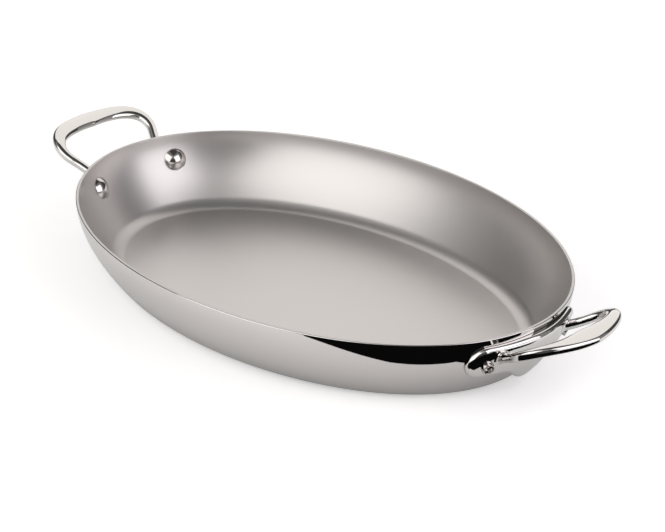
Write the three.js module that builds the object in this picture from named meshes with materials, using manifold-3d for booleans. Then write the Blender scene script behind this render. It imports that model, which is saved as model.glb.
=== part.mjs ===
// Oval pan: a dish pressed from clad sheet, with a cast loop handle riveted to each end.
// Millimetres, +Z up. The origin is the middle of the underside and +X runs along the pan.
import * as THREE from 'three';
import { mergeVertices } from 'three/addons/utils/BufferGeometryUtils.js';
import Module from 'manifold-3d';

const wasm = await Module();
wasm.setup();

// Dish, outside. The wall leans in below the rim by a power of the depth.
const rimLength = 350;
const rimWidth = 239;
const panHeight = 46;
const wallFlare = 22.4;
const flarePower = 1.76;
const baseRadius = 8.2;

// Clad sheet, from the outside in
const outerSteel = 0.4;
const aluminiumCore = 1.2;
const innerSteel = 0.3;
const bondGap = 0.05;

// Rivets, placed by where their middle lines leave the outside of the wall
const rivetSpread = 33;
const rivetDrop = 16.6;
const shankRadius = 3;
const headRadius = 7.8;
const headHeight = 3.4;
const tailRadius = 4;
const tailHeight = 1.8;
const tailChamfer = 0.4;
const recessRadius = 2.5;
const recessDepth = 1.2;
const recessTaper = 0.4;
const shankClearance = 0.15;
const headGap = 0.3;
const tailGap = 0.2;

// Base plate of a handle, its outline as seen along X. It is thickest in the middle.
const plateThickness = 4.8;
const lugThickness = 3.2;
const plateGap = 0.3;
const plateEdgeRadius = 2;
const lugRadius = 10.2;
const lugSpread = 33.6;
const lugDrop = 14.8;
const crownHeight = 0.9;
const bulgeDepth = 10.4;
const bulgeHalfWidth = 20;

// Loop of a handle: its middle line in plan, reaches counted outwards from the rim's end
const rootSpread = 26.4;
const rootDepth = 6;
const armReach = 10;
const armSpread = 34;
const bowReach = 22.4;
const bowSpread = 41.1;
const loopReach = 37.5;
const tipSpread = 27.6;

// Loop of a handle: its top face where it leaves the plate and at its tip, and its section
const rootDrop = 8.5;
const rootClimb = 0.5;
const loopRise = 9.3;
const armWidth = 5.6;
const tipWidth = 13.2;
const widthPower = 1.45;
const loopThickness = 5.4;
const shoulderWidth = 1.3;
const shoulderDepth = 1;
const undersideRadius = 2.3;
const rootFillet = 1.6;

// Facets
const ovalSegments = 56;
const cornerRows = 4;
const wallRows = 5;
const roundSegments = 16;
const domeRows = 4;
const plateColumns = 18;
const lugColumns = 6;
const plateRows = 3;
const edgeRows = 3;
const rootRings = 7;
const bowRings = 13;
const undersideRows = 3;

const halfLength = rimLength / 2;
const halfWidth = rimWidth / 2;
const sheet = outerSteel + aluminiumCore + innerSteel + 2 * bondGap;
const quarter = Math.PI / 2;

// Finishes
const polishedSteel = { color: 0xc9c7c4, roughness: 0.08, metalness: 1 };
const satinSteel = { color: 0xb9b6b2, roughness: 0.35, metalness: 1 };
const aluminium = { color: 0xd2d3d5, roughness: 0.4, metalness: 1 };

// A closed body through rings of points. Each ring turns right-handed about the way to the next.
function loft(rings) {
  const count = rings[0].length;
  const last = (rings.length - 1) * count;
  const points = rings.flat();
  const index = [];
  for (let start = 0; start < last; start += count) {
    for (let i = 0; i < count; i += 1) {
      const here = start + i;
      const beside = start + (i + 1) % count;
      index.push(here, beside, beside + count);
      index.push(here, beside + count, here + count);
    }
  }
  const startMiddle = points.push(middleOf(rings[0])) - 1;
  const endMiddle = points.push(middleOf(rings.at(-1))) - 1;
  for (let i = 0; i < count; i += 1) {
    const beside = (i + 1) % count;
    index.push(startMiddle, beside, i);
    index.push(endMiddle, last + i, last + beside);
  }
  const geometry = new THREE.BufferGeometry().setFromPoints(points);
  geometry.setIndex(index);
  return geometry;
}

function middleOf(ring) {
  const sum = ring.reduce((total, point) => total.add(point), new THREE.Vector3());
  return sum.divideScalar(ring.length);
}

// A geometry as a solid for joining and cutting, and back again
function toSolid(geometry) {
  const bare = geometry.clone();
  bare.deleteAttribute('normal');
  bare.deleteAttribute('uv');
  const merged = mergeVertices(bare, 1e-4);
  const corners = merged.index.array;
  const kept = [];
  for (let i = 0; i < corners.length; i += 3) {
    const [a, b, c] = corners.slice(i, i + 3);
    if (a !== b && b !== c && c !== a) {
      kept.push(a, b, c);
    }
  }
  const vertProperties = merged.attributes.position.array;
  const triVerts = new Uint32Array(kept);
  return new wasm.Manifold(new wasm.Mesh({ numProp: 3, vertProperties, triVerts }));
}

function toGeometry(solid) {
  const mesh = solid.getMesh();
  const geometry = new THREE.BufferGeometry();
  geometry.setAttribute('position', new THREE.BufferAttribute(mesh.vertProperties, 3));
  geometry.setIndex(new THREE.BufferAttribute(mesh.triVerts, 1));
  geometry.computeVertexNormals();
  return geometry;
}

// How far the outside of the wall stands inside the rim's outline at a height, and its slope there
function wallInset(z) {
  const lean = wallFlare * (1 - z / panHeight) ** flarePower;
  const rise = Math.min(z / baseRadius, 1);
  return lean + baseRadius * (1 - Math.sqrt(1 - (1 - rise) ** 2));
}

function leanSlope(z) {
  return -wallFlare * flarePower / panHeight * (1 - z / panHeight) ** (flarePower - 1);
}

// Rows up the outside of the wall, each with its way into the sheet: x inwards and y upwards
function wallProfile() {
  const rows = [];
  for (let i = 0; i <= cornerRows; i += 1) {
    const turn = quarter * i / cornerRows;
    const z = baseRadius * (1 - Math.cos(turn));
    const inwards = leanSlope(z) * Math.sin(turn) - Math.cos(turn);
    rows.push({ z, into: new THREE.Vector2(Math.sin(turn), -inwards).normalize() });
  }
  for (let i = 1; i <= wallRows; i += 1) {
    const z = baseRadius + (panHeight - baseRadius) * i / wallRows;
    rows.push({ z, into: new THREE.Vector2(1, -leanSlope(z)).normalize() });
  }
  return rows;
}

// The oval of one row, at a depth below the outside surface
function ovalRing({ z, into }, depth) {
  const inset = wallInset(z) + into.x * depth;
  const ring = [];
  for (let i = 0; i < ovalSegments; i += 1) {
    const angle = 2 * Math.PI * i / ovalSegments;
    const x = (halfLength - inset) * Math.cos(angle);
    const y = (halfWidth - inset) * Math.sin(angle);
    ring.push(new THREE.Vector3(x, y, z + into.y * depth));
  }
  return ring;
}

// One layer of the clad sheet, between two depths
function sheetLayer(outerDepth, innerDepth) {
  const rows = wallProfile();
  const outside = rows.map((row) => ovalRing(row, outerDepth));
  const inside = rows.map((row) => ovalRing(row, innerDepth)).reverse();
  return loft([...outside, ...inside]);
}

// All that lies inside one depth of the sheet, filled. A handle's back and a rivet's head are cut to it.
function filledTo(depth) {
  return toSolid(loft(wallProfile().map((row) => ovalRing(row, depth))));
}

// A point of the outer wall, by its distance across the pan and its height, with the way out there
function wallPoint(y, z) {
  const longAxis = halfLength - wallInset(z);
  const shortAxis = halfWidth - wallInset(z);
  const sine = y / shortAxis;
  const cosine = Math.sqrt(1 - sine ** 2);
  const down = leanSlope(z) * (longAxis * sine ** 2 + shortAxis * cosine ** 2);
  const position = new THREE.Vector3(longAxis * cosine, y, z);
  const outward = new THREE.Vector3(shortAxis * cosine, longAxis * sine, down).normalize();
  return { position, outward };
}

function offWall(y, z, distance) {
  const { position, outward } = wallPoint(y, z);
  return position.addScaledVector(outward, distance);
}

// A smooth swell over the middle of the base plate, from 0 at its half width to 1
function swell(y, swellHalfWidth) {
  return Math.cos(quarter * Math.min(Math.abs(y) / swellHalfWidth, 1)) ** 2;
}

// Distance of the base plate's face from the wall
function faceDepth(y) {
  return plateGap + lugThickness + (plateThickness - lugThickness) * swell(y, lugSpread);
}

// Base plate: two round lugs joined by a bridge, which rises a little and bulges down in the middle
function plateEdges(y) {
  const beyond = Math.max(Math.abs(y) - lugSpread, 0);
  const half = Math.sqrt(lugRadius ** 2 - beyond ** 2);
  const middle = panHeight - lugDrop;
  const top = middle + half + crownHeight * swell(y, lugSpread);
  return { top, bottom: middle - half - bulgeDepth * swell(y, bulgeHalfWidth) };
}

function plateStations() {
  const stations = [];
  for (let i = 0; i < lugColumns; i += 1) {
    const angle = quarter * (1 - (i + 0.4) / lugColumns);
    stations.push(lugSpread + lugRadius * Math.sin(angle));
  }
  for (let i = 0; i < plateColumns / 2; i += 1) {
    stations.push(lugSpread * (1 - 2 * i / plateColumns));
  }
  return [...stations, 0, ...stations.map((y) => -y).reverse()];
}

// One upright section of the plate, with its outer edges rounded
function plateSection(y) {
  const { top, bottom } = plateEdges(y);
  const toEnd = Math.min(lugSpread + lugRadius - Math.abs(y), plateEdgeRadius);
  const roundOff = plateEdgeRadius - Math.sqrt(plateEdgeRadius ** 2 - (plateEdgeRadius - toEnd) ** 2);
  const face = faceDepth(y) - roundOff;
  const radius = Math.min(plateEdgeRadius, (top - bottom) / 3);
  const back = -plateGap;
  const ring = [offWall(y, bottom, back)];
  for (let i = 0; i <= edgeRows; i += 1) {
    const turn = quarter * i / edgeRows;
    const z = bottom + radius * (1 - Math.cos(turn));
    ring.push(offWall(y, z, face - radius * (1 - Math.sin(turn))));
  }
  for (let i = 1; i < plateRows; i += 1) {
    const z = THREE.MathUtils.lerp(bottom + radius, top - radius, i / plateRows);
    ring.push(offWall(y, z, face));
  }
  for (let i = 0; i <= edgeRows; i += 1) {
    const turn = quarter * i / edgeRows;
    const z = top - radius * (1 - Math.sin(turn));
    ring.push(offWall(y, z, face - radius * (1 - Math.cos(turn))));
  }
  for (let i = 0; i < plateRows; i += 1) {
    ring.push(offWall(y, THREE.MathUtils.lerp(top, bottom, i / plateRows), back));
  }
  return ring;
}

// Height of the loop's top face over X, with its slope: straight inside the plate, then an S to the tip
function topFace(x) {
  const rootX = offWall(rootSpread, panHeight - rootDrop, faceDepth(rootSpread)).x;
  const tipX = halfLength + loopReach;
  const low = panHeight - rootDrop;
  const span = tipX - rootX;
  const s = (x - rootX) / span;
  if (s < 0) {
    return { z: low + rootClimb * (x - rootX), slope: rootClimb };
  }
  const climb = panHeight + loopRise - low;
  const z = low + rootClimb * span * s * (1 - s) ** 2 + climb * s * s * (3 - 2 * s);
  const slope = rootClimb * (1 - s) * (1 - 3 * s) + 6 * climb / span * s * (1 - s);
  return { z, slope };
}

// The loop's middle line in plan, from inside the wall to the tip, with its width along the way
function halfLoop() {
  const armEnd = new THREE.Vector2(halfLength + armReach, armSpread);
  const bowControl = new THREE.Vector2(halfLength + bowReach, bowSpread);
  const tipControl = new THREE.Vector2(halfLength + loopReach, tipSpread);
  const tip = new THREE.Vector2(halfLength + loopReach, 0);
  const lead = (armSpread - rootSpread) / (bowSpread - armSpread);
  const bend = armEnd.clone().lerp(bowControl, -lead);
  const startX = wallPoint(rootSpread, panHeight - rootDrop - loopThickness).position.x - rootDepth;
  const start = new THREE.Vector2(startX, rootSpread);
  const root = new THREE.QuadraticBezierCurve(start, bend, armEnd);
  const bow = new THREE.CubicBezierCurve(armEnd, bowControl, tipControl, tip);
  const stations = [];
  for (let i = 0; i < rootRings; i += 1) {
    const t = i / rootRings;
    stations.push({ at: root.getPoint(t), way: root.getTangent(t), width: armWidth });
  }
  for (let i = 0; i <= bowRings; i += 1) {
    const t = i / bowRings;
    const width = armWidth + (tipWidth - armWidth) * t ** widthPower;
    stations.push({ at: bow.getPoint(t), way: bow.getTangent(t), width });
  }
  return stations;
}

// Section of the loop: a flat top with sloped shoulders over a rounded underside, spread by a fillet
function loopOutline(width, spread) {
  const half = width / 2 + spread;
  const foot = -loopThickness - spread;
  const radius = Math.min(undersideRadius, half - shoulderWidth / 2);
  const outline = [
    new THREE.Vector2(half - shoulderWidth, spread),
    new THREE.Vector2(shoulderWidth - half, spread),
    new THREE.Vector2(-half, spread - shoulderDepth),
  ];
  for (let i = 0; i <= undersideRows; i += 1) {
    const turn = quarter * i / undersideRows;
    const x = radius * (1 - Math.cos(turn)) - half;
    outline.push(new THREE.Vector2(x, foot + radius * (1 - Math.sin(turn))));
  }
  for (let i = 0; i <= undersideRows; i += 1) {
    const turn = quarter * i / undersideRows;
    const x = half - radius * (1 - Math.sin(turn));
    outline.push(new THREE.Vector2(x, foot + radius * (1 - Math.cos(turn))));
  }
  outline.push(new THREE.Vector2(half, spread - shoulderDepth));
  return outline;
}

function loopSection({ at, way, width }) {
  const { z, slope } = topFace(at.x);
  const forward = new THREE.Vector3(way.x, way.y, way.x * slope).normalize();
  const up = new THREE.Vector3(-slope, 0, 1).normalize();
  const outer = up.clone().cross(forward);
  const top = new THREE.Vector3(at.x, at.y, z);
  const middle = top.clone().addScaledVector(up, -loopThickness / 2);
  const plateFace = offWall(middle.y, Math.min(middle.z, panHeight), faceDepth(middle.y));
  const offPlate = middle.x - plateFace.x;
  const rest = rootFillet - THREE.MathUtils.clamp(offPlate, 0, rootFillet);
  const spread = rootFillet - Math.sqrt(rootFillet ** 2 - rest ** 2);
  return loopOutline(width, spread).map((corner) => {
    return top.clone().addScaledVector(outer, corner.x).addScaledVector(up, corner.y);
  });
}

function loopBody() {
  const half = halfLoop();
  const mirrored = half.slice(0, -1).reverse().map(({ at, way, width }) => {
    return { at: new THREE.Vector2(at.x, -at.y), way: new THREE.Vector2(-way.x, way.y), width };
  });
  return loft([...half, ...mirrored].map(loopSection));
}

// Where the rivet on one side of a handle stands: its own Y runs outwards from the outside of the wall
function rivetPlace(side) {
  const { position, outward } = wallPoint(side * rivetSpread, panHeight - rivetDrop);
  const turn = new THREE.Quaternion().setFromUnitVectors(new THREE.Vector3(0, 1, 0), outward);
  return new THREE.Matrix4().compose(position, turn, new THREE.Vector3(1, 1, 1));
}

// Domed head, drawn through the sheet so that its underside can be cut to the wall
function rivetHead() {
  const rim = -sheet - headGap;
  const domeRadius = (headRadius ** 2 + headHeight ** 2) / (2 * headHeight);
  const domeAngle = Math.asin(headRadius / domeRadius);
  const domeMiddle = rim - headHeight + domeRadius;
  const profile = [];
  for (let i = 0; i <= domeRows; i += 1) {
    const angle = domeAngle * i / domeRows;
    const y = domeMiddle - domeRadius * Math.cos(angle);
    profile.push(new THREE.Vector2(domeRadius * Math.sin(angle), y));
  }
  profile.push(new THREE.Vector2(headRadius, 0), new THREE.Vector2(0, 0));
  return new THREE.LatheGeometry(profile, roundSegments);
}

// Shank with a set tail, which has a recess in its end
function rivetShank() {
  const tailSeat = faceDepth(rivetSpread) + tailGap;
  const tailEnd = tailSeat + tailHeight;
  const shankStart = -sheet - headGap - headHeight / 2;
  const profile = [
    [0, shankStart],
    [shankRadius, shankStart],
    [shankRadius, tailSeat],
    [tailRadius, tailSeat],
    [tailRadius, tailEnd - tailChamfer],
    [tailRadius - tailChamfer, tailEnd],
    [recessRadius, tailEnd],
    [recessRadius - recessTaper, tailEnd - recessDepth],
    [0, tailEnd - recessDepth],
  ].map(([radius, y]) => new THREE.Vector2(radius, y));
  return new THREE.LatheGeometry(profile, roundSegments);
}

function rivetGeometry(side) {
  const place = rivetPlace(side);
  const head = toSolid(rivetHead().applyMatrix4(place)).intersect(filledTo(sheet + headGap));
  const rivet = head.add(toSolid(rivetShank().applyMatrix4(place)));
  return toGeometry(rivet).applyMatrix4(place.clone().invert());
}

function shankHole(side) {
  const radius = shankRadius + shankClearance;
  const length = 3 * (sheet + plateThickness);
  return new THREE.CylinderGeometry(radius, radius, length, roundSegments).applyMatrix4(rivetPlace(side));
}

const halfTurn = new THREE.Matrix4().makeRotationZ(Math.PI);
const shankHoles = [shankHole(1), shankHole(-1)].map(toSolid);
const allHoles = [...shankHoles, ...[1, -1].map((side) => toSolid(shankHole(side).applyMatrix4(halfTurn)))];

function handleGeometry() {
  const plate = toSolid(loft(plateStations().map(plateSection)));
  let handle = plate.add(toSolid(loopBody())).subtract(filledTo(-plateGap));
  shankHoles.forEach((hole) => {
    handle = handle.subtract(hole);
  });
  return toGeometry(handle);
}

function layerGeometry(outerDepth, thickness) {
  let layer = toSolid(sheetLayer(outerDepth, outerDepth + thickness));
  allHoles.forEach((hole) => {
    layer = layer.subtract(hole);
  });
  return toGeometry(layer);
}

function named(name, geometry, finish) {
  const mesh = new THREE.Mesh(geometry, new THREE.MeshStandardMaterial(finish));
  mesh.name = name;
  return mesh;
}

// Assembly
const pan = new THREE.Group();
pan.name = 'oval_pan';
const coreDepth = outerSteel + bondGap;
const innerDepth = coreDepth + aluminiumCore + bondGap;
pan.add(named('outer_steel_layer', layerGeometry(0, outerSteel), polishedSteel));
pan.add(named('aluminium_core', layerGeometry(coreDepth, aluminiumCore), aluminium));
pan.add(named('inner_steel_layer', layerGeometry(innerDepth, innerSteel), satinSteel));

// Each end carries a handle and its two rivets; the left end is the right one turned half round.
function panEnd(label, turn) {
  const end = new THREE.Group();
  end.rotation.z = turn;
  end.add(named(`${label}_handle`, handleGeometry(), polishedSteel));
  [1, -1].forEach((side) => {
    const back = side * Math.cos(turn) > 0;
    const rivet = named(`${label}_${back ? 'back' : 'front'}_rivet`, rivetGeometry(side), polishedSteel);
    rivet.applyMatrix4(rivetPlace(side));
    end.add(rivet);
  });
  return end;
}
pan.add(panEnd('right', 0), panEnd('left', Math.PI));

export default pan;
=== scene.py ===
import math

import bmesh
import bpy
import numpy as np
from mathutils import Matrix, Vector


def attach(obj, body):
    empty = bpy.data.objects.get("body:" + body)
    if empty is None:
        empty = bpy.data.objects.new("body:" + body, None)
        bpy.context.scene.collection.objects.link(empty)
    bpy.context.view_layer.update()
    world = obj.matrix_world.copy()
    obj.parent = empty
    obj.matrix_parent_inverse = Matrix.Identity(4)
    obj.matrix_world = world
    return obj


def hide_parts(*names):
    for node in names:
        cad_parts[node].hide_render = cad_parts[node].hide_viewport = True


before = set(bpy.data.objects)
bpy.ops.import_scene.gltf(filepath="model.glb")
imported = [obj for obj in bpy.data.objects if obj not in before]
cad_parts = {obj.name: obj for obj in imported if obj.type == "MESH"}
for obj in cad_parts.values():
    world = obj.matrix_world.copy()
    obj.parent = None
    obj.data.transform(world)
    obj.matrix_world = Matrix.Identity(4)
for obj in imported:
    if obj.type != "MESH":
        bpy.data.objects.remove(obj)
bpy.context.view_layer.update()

# Camera, as fitted to the photograph, in degrees, metres and pixels, with its sensor in millimetres
AZIMUTH, ELEVATION, ROLL = 44.146, 26.259, 0.607
TARGET_RIGHT, TARGET_UP, DISTANCE = 0.009007, 0.018954, 1.629313
FOCAL_PIXELS, PICTURE_WIDTH, SENSOR = 2666.68, 665, 36.0
CLIP_START, CLIP_END = 0.1, 20

# Dish, in millimetres as the whole pan: outside of the rim, lean of the wall, corner, sheet and rim's edges
HALF_LENGTH, HALF_WIDTH, HEIGHT = 175.0, 119.5, 46.0
FLARE, FLARE_POWER, BASE_RADIUS = 24.4, 1.76, 6.0
OUTER_STEEL, ALUMINIUM, INNER_STEEL, BOND_GAP = 0.4, 1.2, 0.3, 0.05
SHEET = OUTER_STEEL + ALUMINIUM + INNER_STEEL + 2 * BOND_GAP
OUTER_ROUNDING, INNER_ROUNDING = 0.5, 0.4

# Rivets: places, head in the bowl, set tail outside and its recess. The lifts clear the curved surfaces
RIVET_SPREAD, RIVET_DROP = 32.4, 16.6
HEAD_RADIUS, HEAD_HEIGHT, HEAD_EDGE, HEAD_LIFT = 7.3, 3.4, 0.35, 0.3
TAIL_RADIUS, TAIL_HEIGHT, TAIL_ROUNDING, TAIL_LIFT = 4.0, 1.8, 0.5, 0.1
RECESS_RADIUS, RECESS_DEPTH, RECESS_TAPER, LIP_ROUNDING = 3.0, 1.9, 0.3, 0.25

# Base plate of a handle: its thickness, its two lugs, and the crown over and the bulge under its bridge
PLATE_GAP, PLATE_THICKNESS, LUG_THICKNESS, PLATE_ROUNDING = 0.3, 4.8, 3.2, 2.9
LUG_RADIUS, LUG_SPREAD, LUG_DROP = 10.2, 33.6, 14.8
CROWN_HEIGHT, BULGE_DEPTH, BULGE_HALF_WIDTH = 0.9, 10.4, 20.0

# Loop of a handle: its root in the plate, the plan of its arm and bow, its climb and its section
ROOT_SPREAD, ROOT_DEPTH, ROOT_FILLET = 26.4, 6.0, 2.2
ROOT_START, ROOT_LEVELS, JOINED_SHARES = 0.6, (-1.5, -0.6), (0.25, 0.5, 0.75)
ARM_REACH, ARM_SPREAD, BOW_REACH, BOW_SPREAD = 10.0, 34.0, 22.4, 41.1
LOOP_REACH, TIP_SPREAD = 36.4, 27.6
ROOT_DROP, ROOT_CLIMB, LOOP_RISE = 8.5, 0.5, 9.28
ARM_WIDTH, TIP_WIDTH, WIDTH_POWER, LOOP_THICKNESS = 5.6, 15.4, 1.45, 5.4
SHOULDER_WIDTH, SHOULDER_DEPTH = 1.7, 1.3
UNDERSIDE_RADIUS, UNDERSIDE_FLAT = 2.3, 0.4
OUTER_CROWN, INNER_CROWN, DEEPEST_CROWN = 0.06, 0.13, 1.6

# Fineness of the meshes: points along a curve or rows over a surface, and the bottom's ovals by their share
DISH_SIDES, CORNER_ROWS, WALL_ROWS, RIM_ROWS = 256, 19, 57, 17
BOTTOM_SHARES = (0.02, 0.2, 0.4, 0.6, 0.8, 0.93)
LUG_POINTS, BRIDGE_POINTS, PLATE_EDGE_ROWS, PLATE_ROWS = 40, 70, 9, 25
ARM_SECTIONS, BOW_SECTIONS, FILLET_ROWS, SHOULDER_POINTS, CROWN_POINTS = 12, 91, 13, 11, 26
RIVET_SIDES, DOME_ROWS, TAIL_EDGE_ROWS = 64, 22, 7

# Steps that bring a rivet's first ring onto its seat
SEAT_STEPS = 4

# Margins at the rim, the foot, and the middle of a recess in millimetres, and at a dome's pole in radians
RIM_MARGIN, FOOT_MARGIN, RECESS_MIDDLE, DOME_POLE = 0.05, 0.01, 0.5, 0.01

# Mesh finishing: a millimetre and the merging distances in metres, and the sharpest smooth edge in degrees
MILLIMETRE, MERGE_DISTANCE, SLIVER, SMOOTH_ANGLE = 0.001, 1e-6, 1e-7, 32

# Tones of the metals and the paper, darker and lighter
SATIN_TONES = (0.6, 0.58, 0.565), (0.63, 0.61, 0.595)
STEEL_TONES = (0.635, 0.61, 0.597), (0.665, 0.64, 0.627)
ALUMINIUM_TONES = (0.6, 0.59, 0.58), (0.68, 0.67, 0.66)
CAST_TONES = (0.66, 0.645, 0.625), (0.7, 0.685, 0.665)
RIVET_TONES = (0.54, 0.515, 0.5), (0.6, 0.575, 0.56)
PAPER_TONES = (0.85, 0.847, 0.843), (0.88, 0.877, 0.873)

# Roughness of the metals, smoother and rougher, and what the satin's grain adds
SATIN_ROUGHNESS, GRAIN_ROUGHNESS = (0.31, 0.35), 0.04
STEEL_ROUGHNESS, ALUMINIUM_ROUGHNESS = (0.02, 0.05), (0.38, 0.5)
CAST_ROUGHNESS, RIVET_ROUGHNESS = (0.02, 0.06), (0.05, 0.1)

# How much of the satin steel is metal, and the depths of the bumps in metres
SATIN_METALLIC = 0.9
GRAIN_DEPTH, STREAK_DEPTH, CAST_DEPTH = 0.000004, 0.0000015, 0.000003

# Floor: reach and the oval round the pan's foot in metres, glow to the eye, and the painted shade round the
# foot that only the metal sees
FLOOR_REACH, FLOOR_ROUGHNESS, FOOT_OVAL = 4, 0.9, (0.15, 0.095)
FLOOR_GLOW, GLOW_NEAR, GLOW_FAR = 0.36, 6, 16
FAR_SHADE, NEAR_SHADE = 0.28, 0.33

# Dark surroundings that only the metal shows, in metres: a room, the floor round a table, and a black card
ROOM_REACH, ROOM_HEIGHT, ROOM_TONE = 3.9, 3, 0.08
TABLE_REACH, TABLE_SHIFT, TABLE_SIDES, SURROUND_HEIGHT = 0.63, 0.15, 60, 0.002
SURROUND_REACH = 3 * ROOM_REACH
BLACK, CARD_HEIGHT = 0.004, 0.001
BLACK_CARD = [
    (0.05, -0.217), (0.095, -0.157), (0.12, -0.118), (0.139, -0.089), (0.16, -0.0655), (0.173, -0.05),
    (0.1735, -0.036), (0.19, -0.023), (0.212, -0.006), (0.225, 0.02), (0.3, 0.078), (0.5, -0.06),
    (0.7, -0.225), (1.5, -0.9), (1.5, -3), (0.3, -3), (0.2, -0.5),
]

# Lamps: azimuth and elevation in degrees, width and height in metres, brightness, colour
SOFTBOXES = [
    ("front_softbox", 263, 31, 1.15, 1.1, 1.48, (1.017, 1, 0.984)),
    ("front_spill", 257, 40, 1.6, 1.55, 0.2, (1.017, 1, 0.984)),
    ("camera_side_spill", 322, 48, 0.6, 0.5, 0.2, (1.017, 1, 1)),
    ("right_softbox", 9, 28, 0.9, 0.98, 1.6, (1.03, 1, 1.037)),
    ("right_spill", 21, 34, 1.2, 1.3, 0.2, (1.03, 1, 1.037)),
    ("back_softbox", 128, 31, 1.12, 1.05, 1.03, (1.03, 1, 0.97)),
]
WORLD_LIGHT = 0.25


def make_camera():
    """The camera looks along -back, and the roll turns its right and up about that line."""
    a, e, r = (math.radians(v) for v in (AZIMUTH, ELEVATION, ROLL))
    back = Vector((math.sin(a) * math.cos(e), -math.cos(a) * math.cos(e), math.sin(e)))
    right = Vector((math.cos(a), math.sin(a), 0))
    up = back.cross(right)
    place = TARGET_RIGHT * right + TARGET_UP * up + DISTANCE * back
    turned_right = math.cos(r) * right + math.sin(r) * up
    turned_up = math.cos(r) * up - math.sin(r) * right
    data = bpy.data.cameras.new("camera")
    data.sensor_width = SENSOR
    data.lens = FOCAL_PIXELS * SENSOR / PICTURE_WIDTH
    data.clip_start, data.clip_end = CLIP_START, CLIP_END
    camera = bpy.data.objects.new("camera", data)
    bpy.context.scene.collection.objects.link(camera)
    turn = Matrix((turned_right, turned_up, back)).transposed().to_4x4()
    camera.matrix_world = Matrix.Translation(place) @ turn
    bpy.context.scene.camera = camera


def quads(rows, columns, closed=True):
    """Faces between the rows of a grid of points: each joins two neighbours and the same two a row on."""
    start = np.arange(rows - 1)[:, None] * columns
    along = np.arange(columns if closed else columns - 1)[None, :]
    beside = (along + 1) % columns
    corners = [start + along, start + beside, start + beside + columns, start + along + columns]
    return np.stack(corners, -1).reshape(-1, 4)


def capped(rings):
    """A body of closed rings of points with a fan over each end: (points, faces)."""
    rows, columns = rings.shape[:2]
    points = np.concatenate([rings.reshape(-1, 3), rings[0].mean(0)[None], rings[-1].mean(0)[None]])
    along = np.arange(columns)
    beside = (along + 1) % columns
    first, last = rows * columns, rows * columns + 1
    end = (rows - 1) * columns
    fans = [np.stack([beside, along, np.full(columns, first)], -1),
            np.stack([end + along, end + beside, np.full(columns, last)], -1)]
    faces = quads(rows, columns).tolist() + np.concatenate(fans).tolist()
    return points, faces


def piece(name, bodies, material):
    """Joins (points, faces) pairs in millimetres into one closed mesh with its faces outwards. It takes the
    place of the CAD node of that name."""
    points, faces = [], []
    for body_points, body_faces in bodies:
        start = sum(len(p) for p in points)
        points.append(body_points)
        faces += [[start + corner for corner in face] for face in body_faces]
    mesh = bpy.data.meshes.new(name)
    mesh.from_pydata((np.concatenate(points) * MILLIMETRE).tolist(), [], faces)
    work = bmesh.new()
    work.from_mesh(mesh)
    bmesh.ops.remove_doubles(work, verts=work.verts, dist=MERGE_DISTANCE)
    bmesh.ops.dissolve_degenerate(work, edges=work.edges, dist=SLIVER)
    bmesh.ops.recalc_face_normals(work, faces=work.faces)
    work.to_mesh(mesh)
    work.free()
    mesh.shade_smooth()
    mesh.set_sharp_from_angle(angle=math.radians(SMOOTH_ANGLE))
    mesh.materials.append(material)
    made = bpy.data.objects.new(name + "_surface", mesh)
    bpy.context.scene.collection.objects.link(made)
    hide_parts(name)
    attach(made, "root")


# Dish

def wall_inset(z):
    """How far the outside stands inside the rim's outline: a power of the depth below the rim, plus the
    corner's arc."""
    lean = FLARE * (1 - z / HEIGHT) ** FLARE_POWER
    rise = np.minimum(z / BASE_RADIUS, 1)
    return lean + BASE_RADIUS * (1 - np.sqrt(np.maximum(1 - (1 - rise) ** 2, 0)))


def lean_slope(z):
    """How fast the lean changes with height, without the corner's arc."""
    return -FLARE * FLARE_POWER / HEIGHT * (1 - z / HEIGHT) ** (FLARE_POWER - 1)


def wall_rows(depth):
    """(inset, height) of the rows up the corner and the wall, each moved by the depth along its own way into
    the sheet."""
    turn = np.linspace(0, math.pi / 2, CORNER_ROWS)
    corner = BASE_RADIUS * (1 - np.cos(turn))
    wall = np.linspace(BASE_RADIUS, HEIGHT, WALL_ROWS)[1:]
    z = np.concatenate([corner, wall])
    inwards = np.concatenate([np.sin(turn), np.ones(len(wall))])
    upwards = np.concatenate([np.cos(turn) - lean_slope(corner) * np.sin(turn), -lean_slope(wall)])
    length = np.hypot(inwards, upwards)
    return np.stack([wall_inset(z) + depth * inwards / length, z + depth * upwards / length], -1)


def rim_drop(depth):
    """How far the rim's rounding drops at a depth in the sheet: a quarter circle at either side."""
    outer = np.maximum(OUTER_ROUNDING - depth, 0)
    inner = np.maximum(INNER_ROUNDING - SHEET + depth, 0)
    outer_drop = OUTER_ROUNDING - np.sqrt(OUTER_ROUNDING ** 2 - outer ** 2)
    inner_drop = INNER_ROUNDING - np.sqrt(INNER_ROUNDING ** 2 - inner ** 2)
    return outer_drop + inner_drop


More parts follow.
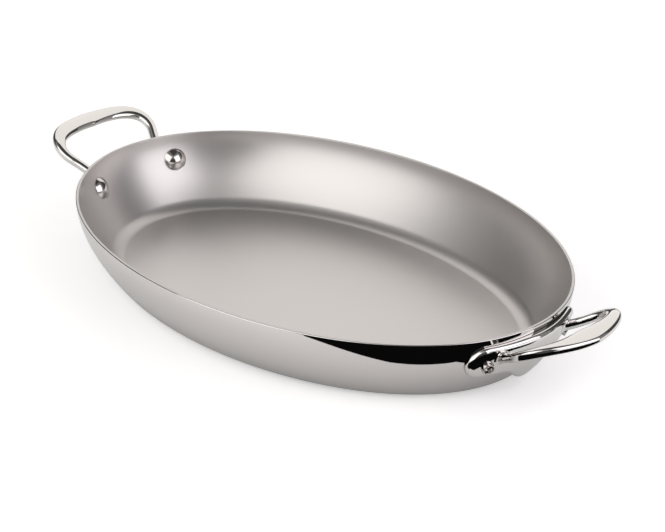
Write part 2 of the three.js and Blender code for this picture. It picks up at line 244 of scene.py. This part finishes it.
def shell(outer_depth, inner_depth):
    """A layer of the dish between two depths in the sheet. Ovals go up the outside, over the rounded rim and
    down the inside, with smaller ones over the flat bottom. Each is (share (half length - inset) cos t,
    share (half width - inset) sin t), and the share is 1 but for the bottom."""
    share_across = (1 - np.cos(np.linspace(0, math.pi, RIM_ROWS))) / 2
    across = share_across * (inner_depth - outer_depth) + outer_depth
    rim = np.stack([across, HEIGHT - rim_drop(across)], -1)
    up, down = wall_rows(outer_depth), wall_rows(inner_depth)
    up = up[up[:, 1] < rim[0, 1] - RIM_MARGIN]
    down = down[down[:, 1] < rim[-1, 1] - RIM_MARGIN]
    rows = np.concatenate([up, rim, down[::-1]])
    bottom = np.array(BOTTOM_SHARES)
    share = np.concatenate([bottom, np.ones(len(rows)), bottom[::-1]])[:, None]
    rows = np.concatenate([rows[[0] * len(bottom)], rows, rows[[-1] * len(bottom)]])
    t = np.linspace(0, 2 * math.pi, DISH_SIDES, endpoint=False)
    x = share * (HALF_LENGTH - rows[:, :1]) * np.cos(t)
    y = share * (HALF_WIDTH - rows[:, :1]) * np.sin(t)
    return capped(np.stack([x, y, rows[:, 1:] + 0 * t], -1))


def wall_point(y, z):
    """A point of the outer wall by its distance across the pan and its height, and the way out there."""
    z = np.clip(z, FOOT_MARGIN, HEIGHT)
    long_axis, short_axis = HALF_LENGTH - wall_inset(z), HALF_WIDTH - wall_inset(z)
    sine = y / short_axis
    cosine = np.sqrt(1 - sine ** 2)
    down = lean_slope(z) * (long_axis * sine ** 2 + short_axis * cosine ** 2)
    outward = np.stack([short_axis * cosine, long_axis * sine, down], -1)
    outward /= np.linalg.norm(outward, axis=-1, keepdims=True)
    return np.stack([long_axis * cosine, y + 0 * z, z + 0 * y], -1), outward


def off_wall(y, z, distance):
    """The wall's point at (y, z), moved by the distance along its way out."""
    place, outward = wall_point(y, z)
    return place + outward * np.asarray(distance)[..., None]


def height_over(points, depth):
    """Height of points above a surface that stands off the wall by depth(y), and the way out there."""
    place, outward = wall_point(points[..., 1], points[..., 2])
    return ((points - place) * outward).sum(-1) - depth(points[..., 1]), outward


def inside_depth(y):
    """The inside of the bowl lies behind the wall by the sheet's thickness, all over."""
    return 0 * y - SHEET


# Base plate of a handle

def swell(y, half_width):
    """1 in the middle and 0 from half_width on: a squared cosine."""
    return np.cos(math.pi / 2 * np.minimum(np.abs(y) / half_width, 1)) ** 2


def face_depth(y):
    """How far the face stands off the wall: least at the lugs and most in the middle."""
    return PLATE_GAP + LUG_THICKNESS + (PLATE_THICKNESS - LUG_THICKNESS) * swell(y, LUG_SPREAD)


def back_depth(y):
    """The back stands off the wall by the same small gap, all over."""
    return 0 * y + PLATE_GAP


def plate_outline():
    """Top and bottom of the outline in (y, z), each from one lug's end to the other's: a band with round
    ends, raised by the crown and lowered by the bulge, which are squared cosines."""
    turn = np.linspace(math.pi / 2, 0, LUG_POINTS)
    lug = LUG_SPREAD + LUG_RADIUS * np.sin(turn)
    bridge = np.linspace(LUG_SPREAD, 0, BRIDGE_POINTS)[1:]
    y = np.concatenate([lug, bridge])
    y = np.concatenate([y, -y[:-1][::-1]])
    half = np.sqrt(np.maximum(LUG_RADIUS ** 2 - np.maximum(np.abs(y) - LUG_SPREAD, 0) ** 2, 0))
    middle = HEIGHT - LUG_DROP
    top = middle + half + CROWN_HEIGHT * swell(y, LUG_SPREAD)
    bottom = middle - half - BULGE_DEPTH * swell(y, BULGE_HALF_WIDTH)
    return np.stack([y, top], -1), np.stack([y, bottom], -1)


def plate_side(ring, columns, depth):
    """The face or the back, off the wall by depth(y): ruled from the top of the ring, its first columns, to
    its bottom."""
    upper = ring[:columns]
    lower = np.concatenate([ring[:1], ring[columns:][::-1], ring[columns - 1:columns]])
    share = np.linspace(0, 1, PLATE_ROWS)[:, None, None]
    grid = upper * (1 - share) + lower * share
    y, z = grid[..., 0], grid[..., 1]
    return off_wall(y, z, depth(y)).reshape(-1, 3), quads(PLATE_ROWS, columns, closed=False).tolist()


def plate_body():
    """Rings follow the outline: up the side, then round the edge by a quarter circle, each point moved
    inwards along the outline's own normal. The face closes the last ring and the back the first."""
    top, bottom = plate_outline()
    columns = len(top)
    outline = np.concatenate([top, bottom[::-1][1:-1]])
    ahead = np.roll(outline, -1, 0) - np.roll(outline, 1, 0)
    inward = np.stack([-ahead[:, 1], ahead[:, 0]], -1)
    inward /= np.linalg.norm(inward, axis=1, keepdims=True)
    turn = np.linspace(0, math.pi / 2, PLATE_EDGE_ROWS)
    rings = [off_wall(outline[:, 0], outline[:, 1], PLATE_GAP)]
    for rise, moved in zip(np.sin(turn), 1 - np.cos(turn)):
        ring = outline + inward * PLATE_ROUNDING * moved
        depth = face_depth(ring[:, 0]) - PLATE_ROUNDING * (1 - rise)
        rings.append(off_wall(ring[:, 0], ring[:, 1], depth))
    edge = np.concatenate(rings), quads(len(rings), len(outline)).tolist()
    return [edge, plate_side(ring, columns, face_depth), plate_side(outline, columns, back_depth)]


# Loop of a handle

def bezier(points, t):
    """A Bezier curve of any order by repeated mixing of neighbouring points, and its direction."""
    points = [np.asarray(p, float) + 0 * t[:, None] for p in points]
    while len(points) > 2:
        points = [a + (b - a) * t[:, None] for a, b in zip(points, points[1:])]
    way = points[1] - points[0]
    return points[0] + way * t[:, None], way / np.linalg.norm(way, axis=1, keepdims=True)


def loop_curve():
    """Half of the loop in plan: the end of a quadratic Bezier curve along the arm and a cubic one round the
    bow to the tip. Gives the places, the directions and the widths, which grow from the arm by a power."""
    arm_end = np.array([HALF_LENGTH + ARM_REACH, ARM_SPREAD])
    control = np.array([HALF_LENGTH + BOW_REACH, BOW_SPREAD])
    tip_x = HALF_LENGTH + LOOP_REACH
    lead = (ARM_SPREAD - ROOT_SPREAD) / (BOW_SPREAD - ARM_SPREAD)
    bend = arm_end + (control - arm_end) * -lead
    start_z = HEIGHT - ROOT_DROP - LOOP_THICKNESS
    start_x = wall_point(np.array(ROOT_SPREAD), np.array(start_z))[0][0] - ROOT_DEPTH
    t = np.linspace(ROOT_START, 1, ARM_SECTIONS)[:-1]
    arm_at, arm_way = bezier([(start_x, ROOT_SPREAD), bend, arm_end], t)
    s = np.linspace(0, 1, BOW_SECTIONS)
    bow_at, bow_way = bezier([arm_end, control, (tip_x, TIP_SPREAD), (tip_x, 0)], s)
    bow_width = ARM_WIDTH + (TIP_WIDTH - ARM_WIDTH) * s ** WIDTH_POWER
    width = np.concatenate([np.full(len(t), ARM_WIDTH), bow_width])
    return np.concatenate([arm_at, bow_at]), np.concatenate([arm_way, bow_way]), width


def top_face(x):
    """Height and slope of the loop's top over x: straight inside the plate, then an S up to the tip."""
    low = HEIGHT - ROOT_DROP
    root_x = off_wall(np.array(ROOT_SPREAD), np.array(low), face_depth(ROOT_SPREAD))[0]
    span = HALF_LENGTH + LOOP_REACH - root_x
    climb = HEIGHT + LOOP_RISE - low
    s = np.maximum((x - root_x) / span, 0)
    z = low + ROOT_CLIMB * span * s * (1 - s) ** 2 + climb * s * s * (3 - 2 * s)
    slope = ROOT_CLIMB * (1 - s) * (1 - 3 * s) + 6 * climb / span * s * (1 - s)
    inside = x < root_x
    return np.where(inside, low + ROOT_CLIMB * (x - root_x), z), np.where(inside, ROOT_CLIMB, slope)


def loop_outline(width):
    """The section as (across, up) points, clockwise from the inner shoulder. The top falls off to each side
    by a parabola, more to the inside. The shoulders add quarters of an ellipse, and the underside has
    quarter-circle corners."""
    half = width / 2
    turn = np.linspace(0, math.pi / 2, SHOULDER_POINTS)
    radius = min(UNDERSIDE_RADIUS, half - UNDERSIDE_FLAT)
    over = [half - SHOULDER_WIDTH * (1 - np.sin(turn)), SHOULDER_DEPTH * (np.cos(turn) - 1)]
    under = [half - radius * (1 - np.cos(turn)), radius - LOOP_THICKNESS - radius * np.sin(turn)]
    over, under = np.stack(over, -1), np.stack(under, -1)
    across = np.linspace(-over[0, 0], over[0, 0], CROWN_POINTS)[1:-1]
    top = np.stack([across, 0 * across], -1)
    foot = np.stack([-across, 0 * across - LOOP_THICKNESS], -1)
    upper = np.concatenate([over[::-1] * [-1, 1], top, over])
    crown = np.where(upper[:, 0] < 0, min(INNER_CROWN * width, DEEPEST_CROWN), OUTER_CROWN * width)
    upper[:, 1] -= crown * (upper[:, 0] / half) ** 2
    return np.concatenate([upper, under, foot, under[::-1] * [-1, 1]])


def loop_sections(at, way, width):
    """Sections across the plan curve, square to its climb: (rings, directions)."""
    z, slope = top_face(at[:, 0])
    forward = np.stack([way[:, 0], way[:, 1], way[:, 0] * slope], -1)
    forward /= np.linalg.norm(forward, axis=1, keepdims=True)
    up = np.stack([-slope, 0 * slope, 1 + 0 * slope], -1)
    up /= np.linalg.norm(up, axis=1, keepdims=True)
    outer = np.cross(up, forward)
    top = np.concatenate([at, z[:, None]], 1)
    outline = np.stack([loop_outline(w) for w in width])
    rings = top[:, None] + outer[:, None] * outline[..., :1] + up[:, None] * outline[..., 1:]
    return rings, forward


def root_rings(first, along):
    """The root, as copies of the loop's first section slid straight back: to levels behind the plate's face,
    then over it, where a quarter-circle fillet spreads them parallel to the face, and on to that section."""
    height, outward = height_over(first, face_depth)
    rate = outward @ along
    radial = first - first.mean(0)
    sideways = radial - (radial * outward).sum(-1, keepdims=True) / rate[:, None] * along
    sideways /= np.linalg.norm(sideways, axis=1, keepdims=True)
    turn = np.linspace(0, math.pi / 2, FILLET_ROWS)
    levels = np.concatenate([ROOT_LEVELS, ROOT_FILLET * (1 - np.cos(turn))])
    spread = np.concatenate([[ROOT_FILLET] * len(ROOT_LEVELS), ROOT_FILLET * (1 - np.sin(turn))])
    slide = (levels[:, None] - height) / rate
    root = first + along * slide[..., None] + sideways * spread[:, None, None]
    share = np.array(JOINED_SHARES)[:, None, None]
    return np.concatenate([root, root[-1] * (1 - share) + first * share])


def loop_body():
    """Half of the loop, from its root to the tip, and its mirror image across the pan's length."""
    rings, directions = loop_sections(*loop_curve())
    half = np.concatenate([root_rings(rings[0], directions[0]), rings])
    return capped(np.concatenate([half, half[:-1][::-1] * [1, -1, 1]]))


# Rivets

def rivet_axis(side):
    """A rivet's place on the wall, its line outwards, and two directions square to it."""
    place, outward = wall_point(np.array(side * RIVET_SPREAD), np.array(HEIGHT - RIVET_DROP))
    across = np.cross(outward, (0, 0, 1))
    across /= np.linalg.norm(across)
    return place, outward, across, np.cross(outward, across)


def lathe(side, profile, seat):
    """Turns (radius, height) points about the rivet's line. The first ring is moved along the line onto the
    surface that stands off the wall by seat(y)."""
    place, outward, across, upward = rivet_axis(side)
    t = np.linspace(0, 2 * math.pi, RIVET_SIDES, endpoint=False)
    around = np.cos(t)[:, None] * across + np.sin(t)[:, None] * upward
    radius, height = profile[:, 0, None, None], profile[:, 1, None, None]
    rings = place + radius * around + height * outward
    for _ in range(SEAT_STEPS):
        over, normal = height_over(rings[0], seat)
        rings[0] -= (over / (normal @ outward))[:, None] * outward
    return capped(rings)


def head_profile():
    """The head inside the bowl: a low straight edge, then an arc of a circle up to the pole."""
    base = -SHEET - HEAD_LIFT
    dome_radius = (HEAD_RADIUS ** 2 + HEAD_HEIGHT ** 2) / (2 * HEAD_HEIGHT)
    angle = np.linspace(math.asin(HEAD_RADIUS / dome_radius), DOME_POLE, DOME_ROWS)[1:]
    dome = [dome_radius * np.sin(angle), base - HEAD_HEIGHT + dome_radius * (1 - np.cos(angle))]
    return np.concatenate([[(HEAD_RADIUS, base), (HEAD_RADIUS, base - HEAD_EDGE)], np.stack(dome, -1)])


def tail_profile():
    """The set tail on the plate's face: a side with a rounded edge, and a recess with a rounded lip, a wall
    that tapers and a flat floor."""
    seat = face_depth(RIVET_SPREAD) + TAIL_LIFT
    end = seat + TAIL_HEIGHT
    turn = np.linspace(0, math.pi / 2, TAIL_EDGE_ROWS)
    edge = [TAIL_RADIUS - TAIL_ROUNDING * (1 - np.cos(turn)), end - TAIL_ROUNDING * (1 - np.sin(turn))]
    lip = [RECESS_RADIUS + LIP_ROUNDING * (1 - np.sin(turn)), end - LIP_ROUNDING * (1 - np.cos(turn))]
    floor = [(RECESS_RADIUS - RECESS_TAPER, end - RECESS_DEPTH), (RECESS_MIDDLE, end - RECESS_DEPTH)]
    return np.concatenate([[(TAIL_RADIUS, seat)], np.stack(edge, -1), np.stack(lip, -1), floor])


def rivet_bodies(side):
    """Domed head on the sheet's inside and set tail on the plate's face."""
    return [lathe(side, head_profile(), inside_depth), lathe(side, tail_profile(), face_depth)]


# Finishes

# The output and the main shader among the nodes of a new material or world
SHADER_NODES = {
    "materials": ("Material Output", "Principled BSDF"),
    "worlds": ("World Output", "Background"),
}


class Signal:
    """The output of a material's node. Arithmetic on it adds Math nodes."""

    def __init__(self, finish, socket):
        self.finish, self.socket = finish, socket

    def math(self, operation, *values):
        return self.finish.node("Math", {"operation": operation}, dict(enumerate((self, *values))))

    def __add__(self, other):
        return self.math("ADD", other)

    def __sub__(self, other):
        return self.math("SUBTRACT", other)

    def __rsub__(self, other):
        return self * -1 + other

    def __mul__(self, other):
        return self.math("MULTIPLY", other)

    __radd__, __rmul__ = __add__, __mul__


class Finish:
    """A material or the world, its main shader and the nodes that vary it."""

    def __init__(self, name, kind="materials", **constants):
        self.material = getattr(bpy.data, kind).new(name)
        self.material.use_nodes = True
        self.tree = self.material.node_tree
        self.output, self.shader = (self.tree.nodes[key] for key in SHADER_NODES[kind])
        for socket, value in constants.items():
            self.shader.inputs[socket.replace("_", " ")].default_value = value

    def join(self, socket, value):
        """Links a signal to a socket, or sets the socket to a plain value."""
        if isinstance(value, Signal):
            self.tree.links.new(value.socket, socket)
        else:
            socket.default_value = value

    def node(self, kind, settings=None, inputs=None, output=0):
        """Adds a node: its settings first, then its sockets by name or number. Gives one of its outputs."""
        made = self.tree.nodes.new("ShaderNode" + kind)
        for name, value in (settings or {}).items():
            setattr(made, name, value)
        for socket, value in (inputs or {}).items():
            self.join(made.inputs[socket], value)
        return Signal(self, made.outputs[output])

    def noise(self, waves, detail=2, stretch=(1, 1, 1)):
        """Cloudy pattern from 0 to 1 on the piece, with so many waves to a metre."""
        place = self.node("TexCoord", output="Object")
        stretched = self.node("Mapping", inputs={"Vector": place, "Scale": stretch})
        return self.node("TexNoise", inputs={"Vector": stretched, "Scale": waves, "Detail": detail})

    def tint(self, mask, first, second):
        """From the first colour where the mask is 0 to the second where it is 1."""
        ends = {6: (*first, 1), 7: (*second, 1)}
        return self.node("Mix", {"data_type": "RGBA"}, {"Factor": mask, **ends}, output=2)

    def bump(self, height, depth):
        """Relief of a pattern, its depth in metres."""
        return self.node("Bump", inputs={"Height": height, "Distance": depth, "Strength": 1})

    def paint(self, **varied):
        """Joins signals to the main shader's sockets and gives the material."""
        for socket, value in varied.items():
            self.join(self.shader.inputs[socket.replace("_", " ")], value)
        return self.material


def between(mask, low, high):
    """From low where the mask is 0 to high where it is 1."""
    return low + (high - low) * mask


def polished_steel():
    """Near mirror, with the faint streaks that a polishing wheel leaves round the wall."""
    finish = Finish("polished_steel", Metallic=1)
    cloud, streaks = finish.noise(waves=14), finish.noise(waves=60, stretch=(1, 1, 24))
    return finish.paint(
        Base_Color=finish.tint(cloud, *STEEL_TONES),
        Roughness=between(streaks, *STEEL_ROUGHNESS),
        Normal=finish.bump(streaks, STREAK_DEPTH),
    )


def aluminium_edge():
    """Trimmed edge, brushed along the rim."""
    finish = Finish("aluminium_edge", Metallic=1)
    streaks = finish.noise(waves=900, stretch=(1, 1, 4))
    return finish.paint(
        Base_Color=finish.tint(streaks, *ALUMINIUM_TONES),
        Roughness=between(streaks, *ALUMINIUM_ROUGHNESS),
    )


def satin_steel():
    """Fine blasted grain over a faint cloudiness. The grain scatters a little of the light all round."""
    finish = Finish("satin_steel", Metallic=SATIN_METALLIC)
    cloud, grain = finish.noise(waves=9), finish.noise(waves=2400)
    return finish.paint(
        Base_Color=finish.tint(cloud, *SATIN_TONES),
        Roughness=between(cloud, *SATIN_ROUGHNESS) + GRAIN_ROUGHNESS * grain,
        Normal=finish.bump(grain, GRAIN_DEPTH),
    )


def polished_casting():
    """Mirror over a cast surface that is very slightly uneven."""
    finish = Finish("polished_casting", Metallic=1)
    cloud, unevenness = finish.noise(waves=30), finish.noise(waves=110, detail=1)
    return finish.paint(
        Base_Color=finish.tint(cloud, *CAST_TONES),
        Roughness=between(cloud, *CAST_ROUGHNESS),
        Normal=finish.bump(unevenness, CAST_DEPTH),
    )


def rivet_steel():
    """Turned and polished: finer and a little duller than the casting."""
    finish = Finish("rivet_steel", Metallic=1)
    cloud = finish.noise(waves=260)
    return finish.paint(
        Base_Color=finish.tint(cloud, *RIVET_TONES),
        Roughness=between(cloud, *RIVET_ROUGHNESS),
    )


# Pieces

def make_dish():
    """Three layers of one sheet, one inside the other, with a thin gap for each bond."""
    core = OUTER_STEEL + BOND_GAP
    inner = core + ALUMINIUM + BOND_GAP
    piece("outer_steel_layer", [shell(0, OUTER_STEEL)], polished_steel())
    piece("aluminium_core", [shell(core, core + ALUMINIUM)], aluminium_edge())
    piece("inner_steel_layer", [shell(inner, SHEET)], satin_steel())


def placed(bodies, end):
    """Bodies made for the right end stay there where end is 1, and are turned half round where it is -1."""
    return [(points * [end, end, 1], faces) for points, faces in bodies]


def make_handles():
    """A handle and its two rivets at each end of the dish."""
    cast, rivet = polished_casting(), rivet_steel()
    handle = [*plate_body(), loop_body()]
    for name, end in (("right", 1), ("left", -1)):
        piece(name + "_handle", placed(handle, end), cast)
        for side in (1, -1):
            place = "back" if side == end else "front"
            piece(f"{name}_{place}_rivet", placed(rivet_bodies(side), end), rivet)


# Stage

def background_ray(finish):
    """1 where the camera, a mirror or glass looks at the background, and 0 for the light that it throws."""
    camera = finish.node("LightPath", output="Is Camera Ray")
    outputs = camera.socket.node.outputs
    mirror, glass = Signal(finish, outputs["Is Glossy Ray"]), Signal(finish, outputs["Is Transmission Ray"])
    return camera + mirror + glass


def sheet_of_paper():
    """Pale floor. Where it is looked at, a glow brings its lit tone up to white, and the pan's shadow stays.
    The metal sees a painted shade on the floor, standing in for the pan's shadow round its foot: the floor
    darkens by FAR_SHADE / d + NEAR_SHADE / d^7, where d is 1 on an oval round the pan's foot. The glow is
    FLOOR_GLOW until d is GLOW_NEAR, and grows to 1 where d is GLOW_FAR, out of the lamps' reach."""
    finish = Finish("floor", Roughness=FLOOR_ROUGHNESS)
    fibre = finish.noise(waves=300)
    place = finish.node("TexCoord", output="Object")
    length, width = FOOT_OVAL
    oval = finish.node("Mapping", inputs={"Vector": place, "Scale": (1 / length, 1 / width, 0)})
    distance = finish.node("VectorMath", {"operation": "LENGTH"}, {0: oval}, output=1)
    d = distance.math("MAXIMUM", 1)
    mirrored = finish.node("LightPath", output="Is Glossy Ray")
    # Painted shade: for mirrored rays the floor darkens towards the pan's foot, in its lit tone and in its
    # glow, standing in for the pan's shadow there
    shade = 1 - mirrored * (FAR_SHADE * d.math("POWER", -1) + NEAR_SHADE * d.math("POWER", -7))
    paper = finish.tint(fibre, *PAPER_TONES)
    shaded = finish.node("VectorMath", {"operation": "SCALE"}, {0: paper, "Scale": shade})
    finish.paint(Base_Color=shaded)
    growth = GLOW_FAR - GLOW_NEAR
    far = (d * (1 / growth) - GLOW_NEAR / growth).math("MAXIMUM", 0).math("MINIMUM", 1)
    strength = between(far, FLOOR_GLOW, 1) * background_ray(finish) * shade
    glow = finish.node("Emission", inputs={"Strength": strength})
    lit = Signal(finish, finish.shader.outputs[0])
    finish.join(finish.output.inputs["Surface"], finish.node("AddShader", inputs={0: lit, 1: glow}))
    return finish.material


def plain_tone(name, brightness):
    """A surface of one brightness, whatever light falls on it."""
    finish = Finish(name)
    tone = finish.node("Emission", inputs={"Strength": brightness})
    finish.join(finish.output.inputs["Surface"], tone)
    return finish.material


def stage_sheets(name, corners, faces, material, only_in_metal=True):
    """Flat sheets round the object, from corners in metres. Most are seen only in the metal."""
    mesh = bpy.data.meshes.new(name)
    mesh.from_pydata(corners, [], faces)
    mesh.materials.append(material)
    made = bpy.data.objects.new(name, mesh)
    bpy.context.scene.collection.objects.link(made)
    if only_in_metal:
        made.visible_camera = made.visible_diffuse = made.visible_shadow = made.visible_transmission = False


def make_floor_and_room():
    """A square floor, and round it four walls and a ceiling."""
    square = [(-1, -1), (1, -1), (1, 1), (-1, 1)]
    floor = [(FLOOR_REACH * x, FLOOR_REACH * y, 0) for x, y in square]
    stage_sheets("floor", floor, [(0, 1, 2, 3)], sheet_of_paper(), only_in_metal=False)
    room = [(ROOM_REACH * x, ROOM_REACH * y, z) for z in (0, ROOM_HEIGHT) for x, y in square]
    walls = [(0, 1, 5, 4), (1, 2, 6, 5), (2, 3, 7, 6), (3, 0, 4, 7)]
    ceiling = (4, 5, 6, 7)
    stage_sheets("room", room, [*walls, ceiling], plain_tone("room", ROOM_TONE))


def make_dark_sheets():
    """The dark floor beyond a round table, a flat ring (reach cos t, reach sin t), and the black card."""
    t = np.linspace(0, 2 * math.pi, TABLE_SIDES, endpoint=False)
    around = np.stack([np.cos(t), np.sin(t), 0 * t], -1)
    middle = np.array([TABLE_SHIFT, -TABLE_SHIFT, SURROUND_HEIGHT])
    surround = np.concatenate([reach * around + middle for reach in (TABLE_REACH, SURROUND_REACH)])
    faces = quads(2, TABLE_SIDES).tolist()
    stage_sheets("beyond_the_table", surround.tolist(), faces, plain_tone("beyond_the_table", ROOM_TONE))
    card = [(x, y, CARD_HEIGHT) for x, y in BLACK_CARD]
    stage_sheets("black_card", card, [tuple(range(len(card)))], plain_tone("black_card", BLACK))


def softbox(name, azimuth, elevation, width, height, brightness, color):
    """A rectangle of light a metre away that faces the pan. Its brightness is its radiance: 1 is white."""
    data = bpy.data.lights.new(name, "AREA")
    data.shape, data.size, data.size_y = "RECTANGLE", width, height
    data.energy, data.color = brightness * math.pi * width * height, color
    made = bpy.data.objects.new(name, data)
    a, e = math.radians(azimuth), math.radians(elevation)
    made.location = (math.cos(a) * math.cos(e), math.sin(a) * math.cos(e), math.sin(e))
    made.rotation_euler = made.location.to_track_quat("Z", "Y").to_euler()
    made.visible_camera = False
    bpy.context.scene.collection.objects.link(made)


def make_world():
    """White where it is looked at, and WORLD_LIGHT for the light that it throws."""
    world = Finish("world", "worlds", Color=(1, 1, 1, 1))
    world.paint(Strength=between(background_ray(world), WORLD_LIGHT, 1))
    bpy.context.scene.world = world.material


make_camera()
bpy.context.scene.view_settings.view_transform = "Standard"
make_dish()
make_handles()
make_floor_and_room()
make_dark_sheets()
for lamp in SOFTBOXES:
    softbox(*lamp)
make_world()
